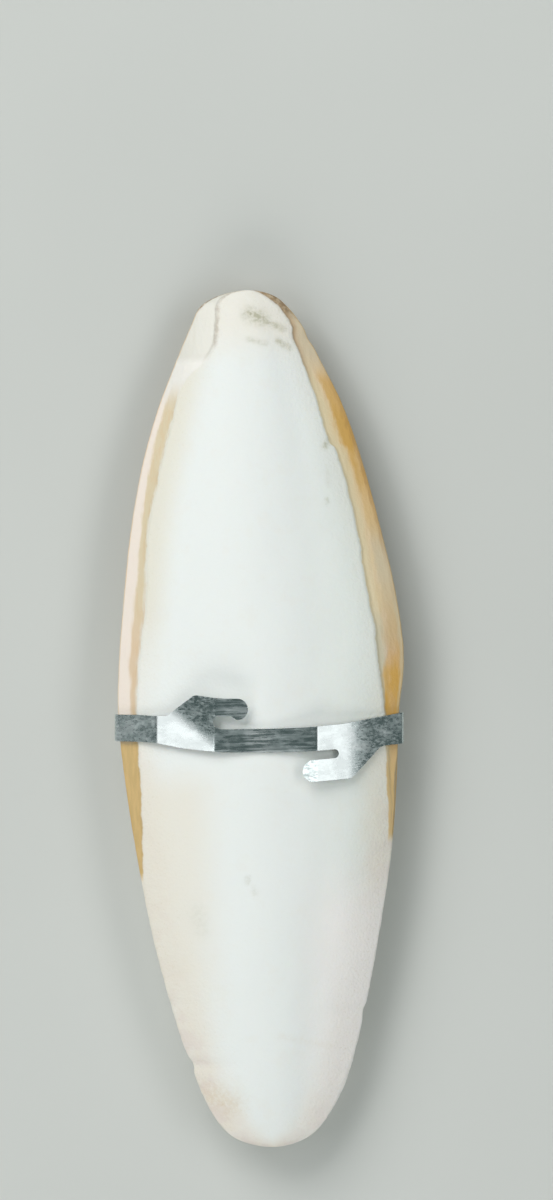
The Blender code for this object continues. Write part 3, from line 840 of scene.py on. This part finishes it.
# Softboxes: name, direction from the bone, distance, width and height, radiance, in metres
SOFTBOXES = (
    ("softbox left", (-0.56, 0, 0.83), 1.1, (0.55, 0.45), 2.1),
    ("softbox right", (0.64, 0, 0.77), 1.1, (1.1, 0.42), 2.15),
    ("low left", (-0.97, 0, 0.25), 1.1, (0.5, 0.2), 0.6),
    ("key", (-0.45, 0.75, 0.75), 1.3, (1.0, 0.8), 4.65),
    ("fill", (-0.15, -0.93, 0.5), 1.3, (1.2, 0.5), 3.4),
)
STUDIO_COLOUR = (0.08, 0.112, 0.11)

# Camera, in metres apart from its sensor. The picture's height spans SEEN_HEIGHT at the bone's rim
SENSOR = 36.0
CAMERA_TO_RIM = 1.2
RIM_HEIGHT = 0.013
SEEN_HEIGHT = 0.2962
CAMERA_OVER = (0.00499, 0.0291)
BONE_LEAN = math.radians(-1.8)


class BoneNodes(Nodes):
    """The bone's colours, gloss and fine relief, from the values that its points carry."""

    def __init__(self):
        super().__init__("cuttlebone")
        self.past_white, self.from_rim = self.field("past_white"), self.field("from_rim")
        self.belly, self.stain, self.age = self.field("belly"), self.field("stain"), self.field("age")
        self.x, self.y = self.millimetres()
        self.on_right = self.ease(self.x, -1.0, 1.0)
        self.on_back = self.without(self.belly)
        self.cloudy = self.noise(14, 3)
        self.patchy = self.noise(4.5, 4, shift=3.0)
        self.fine = self.noise(0.9, 4, shift=8.0)
        self.streaks = self.noise(0.8, 4, stretch=(1, 7, 1), shift=2.0)
        self.blotches = self.noise(6, 3, stretch=(1, 2.2, 1), shift=6.0)

        # Share of the way over the horny margin, from the shield out to the rim, with a wandering line
        past = self.math("MAXIMUM", self.past_white, 0.0)
        margin = self.math("ADD", past, self.math("MAXIMUM", self.from_rim, 0.0))
        share = self.math("DIVIDE", past, self.math("MAXIMUM", margin, 0.05))
        self.wander = self.math("MULTIPLY_ADD", self.streaks, 0.3, self.math("ADD", share, -0.15))

    def shield(self):
        """White shield: cool in the middle, warmer and rosier towards its edges."""
        x, y, from_rim = self.x, self.y, self.from_rim
        warm = self.product(
            self.ease(from_rim, 12.0, 2.0),
            self.ease(self.cloudy, 0.35, 0.6, 0.6, 1.0),
            self.ease(y, 8.0, -12.0, 0.55, 1.0),
        )
        white = self.mix(warm, COOL_WHITE, WARM_WHITE)
        rosy = self.product(
            self.ease(from_rim, 9.0, 0.0),
            self.ease(y, 5.0, -25.0),
            self.ease(self.patchy, 0.4, 0.62, 0.15, 0.85),
        )
        white = self.mix(rosy, white, ROSE_WHITE)
        white = self.mix(self.ease(y, 86.0, 98.0, 0.0, 0.9), white, CREAM)
        white = self.mix(self.ease(self.patchy, 0.52, 0.7, 0.0, 0.12), white, WARM_WHITE)
        white = self.mix(self.ease(x, 6.0, 26.0, 0.0, 0.6), white, DULL_WHITE, "MULTIPLY")

        along_left = self.profile(y, (-85, 0.1), (-60, 0.65), (-20, 0.75), (-8, 0.0))
        white = self.mix(self.product(self.ease(x, -7.0, -20.0), along_left), white, LOW_WHITE)
        creamy = self.product(
            self.ease(from_rim, 14.0, 5.0),
            self.ease(x, -6.0, -18.0),
            self.ease(y, 8.0, 30.0, 0.0, 0.95),
        )
        white = self.mix(creamy, white, FRINGE)
        low_right = self.product(self.ease(x, 3.0, 20.0), self.ease(y, -28.0, -55.0, 0.0, 0.85))
        white = self.mix(low_right, white, PINK_WHITE)
        specks = self.ease(self.noise(0.55, 2, shift=5.0), 0.6, 0.72)
        dusty = self.product(specks, self.ease(from_rim, 14.0, 1.0, 0.05, 0.3))
        return self.mix(dusty, white, OLIVE_BEIGE)

    def stained(self, white):
        """Stains are worn through in small patches, so that the white shows between."""
        worn = self.math("MULTIPLY_ADD", self.noise(1.1, 4, rough=0.65, shift=15.0), 1.3, -0.3)
        mark = self.product(self.stain, self.ease(worn, 0.1, 0.6, 0.25, 1.0), self.on_back)
        return self.mix(mark, white, self.mix(self.ease(self.y, -75.0, -60.0), TAN, SMUDGE))

    def right_horn(self):
        """Right margin: beige inside, honey outside, with stretches of deep amber."""
        y, wander = self.y, self.wander
        broad = self.noise(9, 2, stretch=(1, 2, 1), shift=17.0)
        outside = self.mix(self.ease(broad, 0.4, 0.6), HONEY, PEACH)
        horn = self.mix(self.ease(wander, 0.15, 0.5), OLIVE_BEIGE, outside)
        horn = self.mix(self.ease(y, 18.0, 30.0, 0.0, 0.5), horn, PALE_HONEY)
        greyer = self.profile(y, (14, 0.0), (20, 0.5), (40, 0.5), (50, 0.0))
        horn = self.mix(self.product(self.ease(wander, 0.35, 0.6), greyer), horn, GREY_HORN)

        deep = self.profile(
            y, (-20, 0.1), (-9, 0.35), (0, 1.0), (8, 1.0), (20, 0.35), (38, 0.05), (50, 0.3), (64, 0.8),
            (72, 0.75), (82, 0.6), (88, 0.0),
        )
        inner_limit = self.ease(y, 18.0, 9.0, 0.38, 0.02)
        amber = self.product(
            deep,
            self.ease(self.blotches, 0.3, 0.55, 0.7, 1.2),
            self.ease(self.math("SUBTRACT", wander, inner_limit), 0.0, 0.2),
        )
        horn = self.mix(amber, horn, AMBER)
        line_colour = self.mix(self.ease(y, 24.0, 36.0), OLIVE_BEIGE, DARK_AMBER)
        line_strength = self.profile(
            y, (-4, 0.0), (6, 0.6), (24, 0.6), (34, 0.15), (46, 0.4), (64, 0.55), (84, 0.2),
        )
        outer_line = self.product(self.ease(wander, 0.78, 0.92), line_strength)
        horn = self.mix(outer_line, horn, line_colour)
        horn = self.mix(self.ease(y, 83.0, 91.0, 0.0, 0.85), horn, BEIGE)
        horn = self.mix(self.ease(y, -4.0, -14.0, 0.0, 0.85), horn, GOLD)
        tip_brown = self.product(self.ease(y, 97.5, 101.0), self.ease(self.fine, 0.3, 0.62, 0.35, 0.9))
        horn = self.mix(tip_brown, horn, BROWN)
        by_tip = self.profile(y, (78, 0.0), (88, 0.45), (96, 0.7), (103, 0.3))
        horn = self.mix(self.product(self.ease(self.past_white, 1.9, 0.3), by_tip), horn, RUSSET)

        dark_from = self.profile(y, (-36, 0.36), (-17, 0.6), (-8, 0.95))
        dark_rim = self.product(
            self.ease(self.math("SUBTRACT", wander, dark_from), -0.06, 0.16),
            self.ease(y, -5.0, -9.0, 0.0, 0.75),
        )
        return self.mix(dark_rim, horn, DARK_HORN)

    def left_horn(self):
        """Left margin: pale tan inside, a painted pale highlight over its outer part, all golden tan
        below the holder.
        """
        y, wander = self.y, self.wander
        pale_tan = self.mix(self.ease(y, 34.0, 18.0, 0.0, 0.6), PALE_TAN, PEACH)
        horn = self.mix(self.ease(wander, -0.05, 0.2), CREAM, pale_tan)
        horn = self.mix(self.ease(self.streaks, 0.42, 0.66, 0.0, 0.35), horn, HONEY)
        # Painted highlight: above the holder the outer part of the left margin is painted nearly white,
        # standing for a reflection on the horn
        highlight_from = self.profile(
            y, (2, 0.32), (9, 0.36), (16, 0.49), (30, 0.5), (39, 0.4), (46, 0.39), (59, 0.56),
            (74, 0.64),
        )
        painted_highlight = self.ease(self.math("SUBTRACT", wander, highlight_from), -0.08, 0.12)
        horn = self.mix(painted_highlight, horn, PAINTED_HIGHLIGHT_EDGE)
        golden = self.mix(self.ease(self.streaks, 0.38, 0.62), GOLDEN_TAN, DEEP_TAN)
        horn = self.mix(self.ease(y, -2.0, -6.0), horn, golden)
        horn = self.mix(self.ease(y, 76.0, 85.0), horn, BONE_GREY)
        flap = self.math("ADD", self.math("MULTIPLY_ADD", self.patchy, 3.0, y), -1.5)
        return self.mix(self.ease(flap, 88.0, 91.0, 0.0, 0.95), horn, FLAP)

    def horn(self):
        """The horny margin's colour on both sides and underneath."""
        over = self.mix(self.on_right, self.left_horn(), self.right_horn())
        underneath = self.mix(self.ease(self.blotches, 0.35, 0.6), TAN, AMBER)
        return self.mix(self.belly, over, underneath)

    def horn_share(self):
        """One on the horny margin, none on the white, with a ragged border between them."""
        border = self.math("MULTIPLY_ADD", self.fine, 0.5, self.math("ADD", self.past_white, -0.25))
        wider = self.profile(self.y, (-30, 0.9), (-20, 0.9), (-8, 0.5), (2, 0.0))
        border = self.math("ADD", border, self.product(self.on_right, wider))
        horn_from = self.ease(self.x, -1.0, 1.0, LEFT_HORN_FROM, RIGHT_HORN_FROM)
        above_end = self.ease(self.math("SUBTRACT", self.y, horn_from), -2.5, 0.5)
        return self.product(self.ease(border, -0.05, 0.4), above_end)

    def with_seam(self, colour):
        """Brown seam where the shield is cracked at the tip, and a thin dark line round the rim."""
        off_seam = self.math("MULTIPLY_ADD", self.fine, 0.9, self.math("ADD", self.past_white, -0.45))
        seam = self.product(
            self.ease(self.math("ABSOLUTE", off_seam), 0.9, 0.0),
            self.ease(self.y, 88.0, 94.0),
            self.ease(self.noise(2.2, 3, shift=12.0), 0.36, 0.6, 0.15, 0.42),
            self.math("SUBTRACT", self.on_back, self.product(self.on_right, 0.6)),
        )
        tip_line = self.product(
            self.ease(self.from_rim, 0.8, 0.25),
            self.ease(self.y, 100.5, 102.5),
            self.ease(self.fine, 0.35, 0.65, 0.3, 0.85),
        )
        return self.mix(self.math("MAXIMUM", seam, tip_line), colour, BROWN)

    def chamber_lines(self):
        """A faint line on the belly for each old chamber."""
        wave = self.node(
            "ShaderNodeTexWave",
            {
                "Vector": self.node("ShaderNodeCombineXYZ", {0: self.age}).outputs[0],
                "Scale": 0.32,
                "Distortion": 2.5,
                "Detail": 2.0,
                "Detail Scale": 1.5,
            },
            wave_type="BANDS",
            bands_direction="X",
        ).outputs["Fac"]
        return self.product(wave, self.ease(self.age, CHAMBER_EDGE - 0.6, CHAMBER_EDGE + 0.6))

    def chalk(self, lines):
        chalk = self.mix(self.product(lines, 0.22), CHALK_WHITE, TAN)
        return self.mix(self.ease(self.cloudy, 0.45, 0.65, 0.0, 0.25), chalk, WARM_WHITE)

    def relief(self, is_horn, on_chalk, lines):
        pits = self.product(self.grains(0.7), self.without(is_horn))
        grainy = self.math("MULTIPLY_ADD", pits, 0.6, self.product(self.fine, 0.8))
        grit = self.product(grainy, self.ease(self.from_rim, 18.0, 1.0, 0.35, 1.0))
        normal = self.bump(grit, 0.13, 0.8)
        normal = self.bump(self.product(self.streaks, is_horn), 0.07, 0.6, normal)
        return self.bump(self.product(lines, on_chalk), 0.14, 0.8, normal)


def bone_material():
    n = BoneNodes()
    is_horn = n.horn_share()
    colour = n.mix(is_horn, n.stained(n.shield()), n.horn())
    lines = n.chamber_lines()
    on_chalk = n.product(n.ease(n.belly, 0.6, 0.9), n.without(is_horn))
    colour = n.mix(on_chalk, n.with_seam(colour), n.chalk(lines))
    roughness = n.ease(is_horn, 0.0, 1.0, CHALK_ROUGHNESS, HORN_ROUGHNESS)
    roughness = n.math("MULTIPLY_ADD", n.fine, 0.12, n.math("SUBTRACT", roughness, 0.06))
    n.set(Base_Color=colour, Roughness=roughness, Normal=n.relief(is_horn, on_chalk, lines))
    n.set(Subsurface_Weight=0.08, Subsurface_Scale=0.0015, Subsurface_Radius=(1.0, 0.75, 0.5))
    return n.material


def smooth_shaded_facets(n, x, y):
    """Nearly one on the two facets that mirror the softboxes, and none elsewhere: the tin there is made
    smoother and painted darker, which tones down their bright reflection.
    """
    over_slant = n.math("ADD", n.math("MULTIPLY_ADD", x, 0.83, 14.8), y)
    on_left = n.product(
        n.ease(x, -26.0, -25.2), n.ease(x, -11.0, -12.0), n.ease(over_slant, 1.2, -1.2)
    )
    on_right = n.product(n.ease(x, 13.3, 13.9), n.ease(x, 24.0, 21.0))
    return n.product(n.math("MAXIMUM", on_left, on_right), 0.9)


def tin_material():
    n = Nodes("tinned steel")
    x, y = n.millimetres()
    # Mask of the facets that mirror the softboxes: smoother tin there, and painted shade in its colour
    smooth_and_shaded = smooth_shaded_facets(n, x, y)
    streaks = n.noise(0.16, 3, stretch=(34, 1, 1))
    long_streaks = n.noise(0.5, 2, stretch=(26, 1, 1), shift=7.0)
    mottle = n.noise(0.75, 4, stretch=(2.2, 1, 1), rough=0.6, shift=4.0)
    bands = n.noise(1.0, 3, stretch=(4.5, 1, 1), rough=0.6, shift=13.0)
    cloudy = n.noise(3.2, 3, stretch=(1.6, 1, 1), shift=9.0)
    mottle = n.flatten(mottle, smooth_and_shaded)
    long_streaks = n.flatten(long_streaks, smooth_and_shaded)

    colour = n.mix(n.ease(mottle, 0.38, 0.68), PALE_TIN, GREY_TIN)
    colour = n.mix(n.ease(streaks, 0.48, 0.72, 0.0, 0.4), colour, STREAK_TIN)
    colour = n.mix(n.ease(cloudy, 0.52, 0.72, 0.0, 0.4), colour, CLOUD_TIN)
    rubbed = n.product(
        n.ease(x, -5.0, -1.5), n.ease(x, 4.5, 1.0), n.ease(long_streaks, 0.3, 0.6, 0.5, 1.0), 0.6
    )
    colour = n.mix(rubbed, colour, RUBBED_TIN)
    # Painted shade: an even, darker tin colour on the facets that mirror the softboxes tones their
    # reflection down
    colour = n.mix(smooth_and_shaded, colour, SHADED_FACET_TIN)

    dull = n.product(
        n.ease(bands, 0.42, 0.66), n.ease(mottle, 0.36, 0.58, 0.3, 1.0), n.without(smooth_and_shaded)
    )
    roughness = n.math("MULTIPLY_ADD", mottle, 0.14, n.ease(cloudy, 0.35, 0.65, 0.12, 0.2))
    roughness = n.math("ADD", roughness, n.ease(long_streaks, 0.45, 0.65, 0.0, 0.14))
    roughness = n.math("MULTIPLY_ADD", dull, 0.1, roughness)
    metallic = n.math("MULTIPLY_ADD", dull, -0.12, 1.0)
    normal = n.bump(streaks, 0.003)
    normal = n.bump(long_streaks, 0.006, normal=normal)
    normal = n.bump(mottle, 0.004, normal=normal)
    n.set(Base_Color=colour, Roughness=roughness, Normal=normal, Metallic=metallic)
    return n.material


def floor_material():
    n = Nodes("floor")
    colour = n.mix(n.ease(n.noise(260, 3), 0.35, 0.65), FLOOR_GREY, FLOOR_PALE)
    n.set(Base_Color=colour, Roughness=0.85, Normal=n.bump(n.noise(1.5, 2), 0.03, 0.3))
    return n.material


def build_floor():
    data = bpy.data.meshes.new("floor")
    half = FLOOR_SIDE / 2
    corners = [(-half, -half, 0), (half, -half, 0), (half, half, 0), (-half, half, 0)]
    data.from_pydata(corners, [], [(0, 1, 2, 3)])
    add_piece("floor", data, floor_material())


def add_softbox(name, towards, distance, size, radiance):
    """A softbox that faces the bone from a direction. Its size is its width, then its height."""
    light = bpy.data.lights.new(name, "AREA")
    light.shape = "RECTANGLE"
    light.size, light.size_y = size
    light.energy = radiance * math.pi * size[0] * size[1]
    lamp = bpy.data.objects.new(name, light)
    direction = Vector(towards).normalized()
    lamp.location = direction * distance
    lamp.rotation_euler = direction.to_track_quat("Z", "Y").to_euler()
    lamp.visible_camera = False
    bpy.context.scene.collection.objects.link(lamp)


def build_lights():
    for softbox in SOFTBOXES:
        add_softbox(*softbox)
    world = bpy.data.worlds.new("studio")
    world.use_nodes = True
    back = world.node_tree.nodes["Background"]
    back.inputs["Color"].default_value = (*STUDIO_COLOUR, 1.0)
    back.inputs["Strength"].default_value = 1.0
    bpy.context.scene.world = world


def build_camera():
    """Looks straight down, rolled a little, because the bone leans in the picture."""
    data = bpy.data.cameras.new("camera")
    data.sensor_width = SENSOR
    data.lens = SENSOR * CAMERA_TO_RIM / SEEN_HEIGHT
    data.clip_start, data.clip_end = 0.05, 50.0
    camera = bpy.data.objects.new("camera", data)
    camera.location = (*CAMERA_OVER, CAMERA_TO_RIM + RIM_HEIGHT)
    camera.rotation_euler = (0, 0, BONE_LEAN)
    bpy.context.scene.collection.objects.link(camera)
    bpy.context.scene.camera = camera


bone_offset = build_bone(bone_material())
build_holder(tin_material(), bone_offset)
build_floor()
build_lights()
build_camera()
bpy.context.scene.view_settings.view_transform = "Standard"
